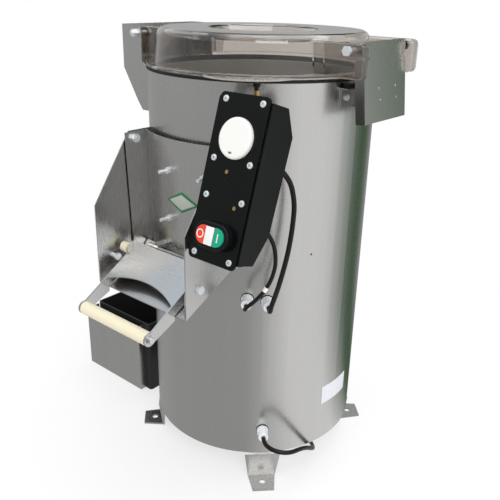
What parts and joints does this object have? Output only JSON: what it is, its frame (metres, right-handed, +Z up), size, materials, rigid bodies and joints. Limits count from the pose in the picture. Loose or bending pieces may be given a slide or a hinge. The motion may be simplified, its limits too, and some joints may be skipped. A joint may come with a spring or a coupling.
{
  "type": "electric potato peeler",
  "caption": "Floor-standing drum potato peeler with a clear hinged lid, discharge door with lever grip, control box and abrasive disc.",
  "frame": {"origin": "on the drum's axis at floor level, at the centre of the four foot holes", "axes": "+Z up; -Y towards the discharge door and its grip; +X towards the lid's latch, -X towards the lid's hinge"},
  "size_m": [0.688, 0.7085, 0.8039],
  "materials": {
    "stainless": "satin brushed sheet",
    "stainless_inner": "dull rolled sheet",
    "lid_plastic": "clear, slightly brown moulding",
    "black_rubber": "matt",
    "black_plastic": "fine moulded grain",
    "box_black": "fine moulded grain",
    "bolt_steel": "bright zinc",
    "cream_plastic": "smooth turned",
    "white_plastic": "smooth moulded",
    "red_plastic": "smooth moulded",
    "green_plastic": "smooth moulded",
    "grey_plastic": "smooth moulded",
    "cord_black": "matt jacket",
    "cast_aluminium": "as cast and turned",
    "abrasive": "bonded grit",
    "steel_dark": "turned and ground",
    "motor_paint": "semi gloss paint",
    "belt_rubber": "matt with cloth faces",
    "bin_black": "coarse moulded grain"
  },
  "bodies": {
    "frame": {"drum_shell": "stainless", "drum_liner": "stainless_inner", "chamber_floor": "stainless_inner", "motor_plate": "steel_dark", "base_plate": "stainless_inner", "feet": "stainless", "side_plate_left": "stainless", "side_plate_right": "stainless", "chute_floor": "stainless", "frame_bolts": "bolt_steel", "rim_gasket": "black_rubber", "hinge_bracket": "stainless", "hinge_pivot_bolts": "bolt_steel", "catch_bracket": "stainless", "catch_block": "black_rubber", "control_box_body": "box_black", "control_box_plate": "box_black", "plate_screws": "bolt_steel", "timer_unit": "grey_plastic", "switch_bezel": "black_plastic", "switch_block": "grey_plastic", "plunger_guide": "grey_plastic", "plunger_spring": "steel_dark", "lid_switch": "black_plastic", "cable_glands": "grey_plastic", "lower_lead": "cord_black", "upper_lead": "cord_black", "mains_cord": "cord_black", "mains_coil": "cord_black", "mains_plug": "black_plastic", "bearing_housing": "cast_aluminium", "shaft_bearings": "steel_dark", "shaft_seal": "black_rubber", "motor": "motor_paint", "drive_belt": "belt_rubber", "drain_pipe": "grey_plastic", "waste_box": "bin_black", "waste_box_front": "stainless"},
    "lid": {"lid": "lid_plastic", "latch_bolts": "bolt_steel"},
    "latch": {"latch_bracket": "stainless"},
    "door": {"door_panel": "stainless", "door_seal": "black_rubber", "door_liner": "grey_plastic", "door_studs": "bolt_steel", "lever_hinge_pin": "steel_dark"},
    "lever": {"lever_plate": "stainless", "lever_arms": "stainless", "grip": "cream_plastic", "grip_screws": "bolt_steel"},
    "rollers": {"rollers": "cream_plastic"},
    "disc": {"main_shaft": "steel_dark", "peeling_disc": "abrasive", "disc_nut": "steel_dark", "drive_pulley": "cast_aluminium"},
    "motor_drive": {"motor_pulley": "cast_aluminium"},
    "timer_knob": {"timer_knob": "white_plastic"},
    "button_off": {"button_off": "red_plastic"},
    "button_on": {"button_on": "green_plastic"},
    "plunger": {"plunger": "black_plastic"}
  },
  "joints": [
    {"name": "lid_hinge", "type": "hinge", "parent": "frame", "child": "lid", "pos_m": [-0.226, 0, 0.786], "axis": [0, -1, 0], "range_deg": [0, 85]},
    {"name": "latch_hinge", "type": "hinge", "parent": "lid", "child": "latch", "pos_m": [0.226, 0, 0.786], "axis": [0, -1, 0], "range_deg": [0, 65]},
    {"name": "door_hinge", "type": "hinge", "parent": "frame", "child": "door", "pos_m": [0, -0.212, 0.629], "axis": [-1, 0, 0], "range_deg": [0, 38]},
    {"name": "lever_hinge", "type": "hinge", "parent": "door", "child": "lever", "pos_m": [0, -0.226, 0.45], "axis": [-1, 0, 0], "range_deg": [0, 60]},
    {"name": "roller_spin", "type": "hinge", "parent": "lever", "child": "rollers", "pos_m": [0, -0.251, 0.4455], "axis": [1, 0, 0], "continuous": true},
    {"name": "disc_spin", "type": "hinge", "parent": "frame", "child": "disc", "pos_m": [0, 0, 0.2], "axis": [0, 0, 1], "continuous": true},
    {"name": "motor_spin", "type": "hinge", "parent": "frame", "child": "motor_drive", "pos_m": [0, 0.118, 0.1], "axis": [0, 0, 1], "continuous": true},
    {"name": "timer_turn", "type": "hinge", "parent": "frame", "child": "timer_knob", "pos_m": [0.1555, -0.24305, 0.67248], "axis": [0, 0.9537, -0.3007], "range_deg": [0, 300]},
    {"name": "off_press", "type": "slide", "parent": "frame", "child": "button_off", "axis": [0, 0.9537, -0.3007], "range_m": [0, 0.003], "stiffness_N_per_m": 600, "springref_m": -0.002},
    {"name": "on_press", "type": "slide", "parent": "frame", "child": "button_on", "axis": [0, 0.9537, -0.3007], "range_m": [0, 0.003], "stiffness_N_per_m": 600, "springref_m": -0.002},
    {"name": "plunger_press", "type": "slide", "parent": "frame", "child": "plunger", "axis": [0, 0, -1], "range_m": [0, 0.004], "stiffness_N_per_m": 400, "springref_m": -0.003, "deforming": ["plunger_spring"]}
  ],
  "couplings": [
    {"joint": "motor_spin", "follows": "disc_spin", "ratio": 2.608}
  ]
}
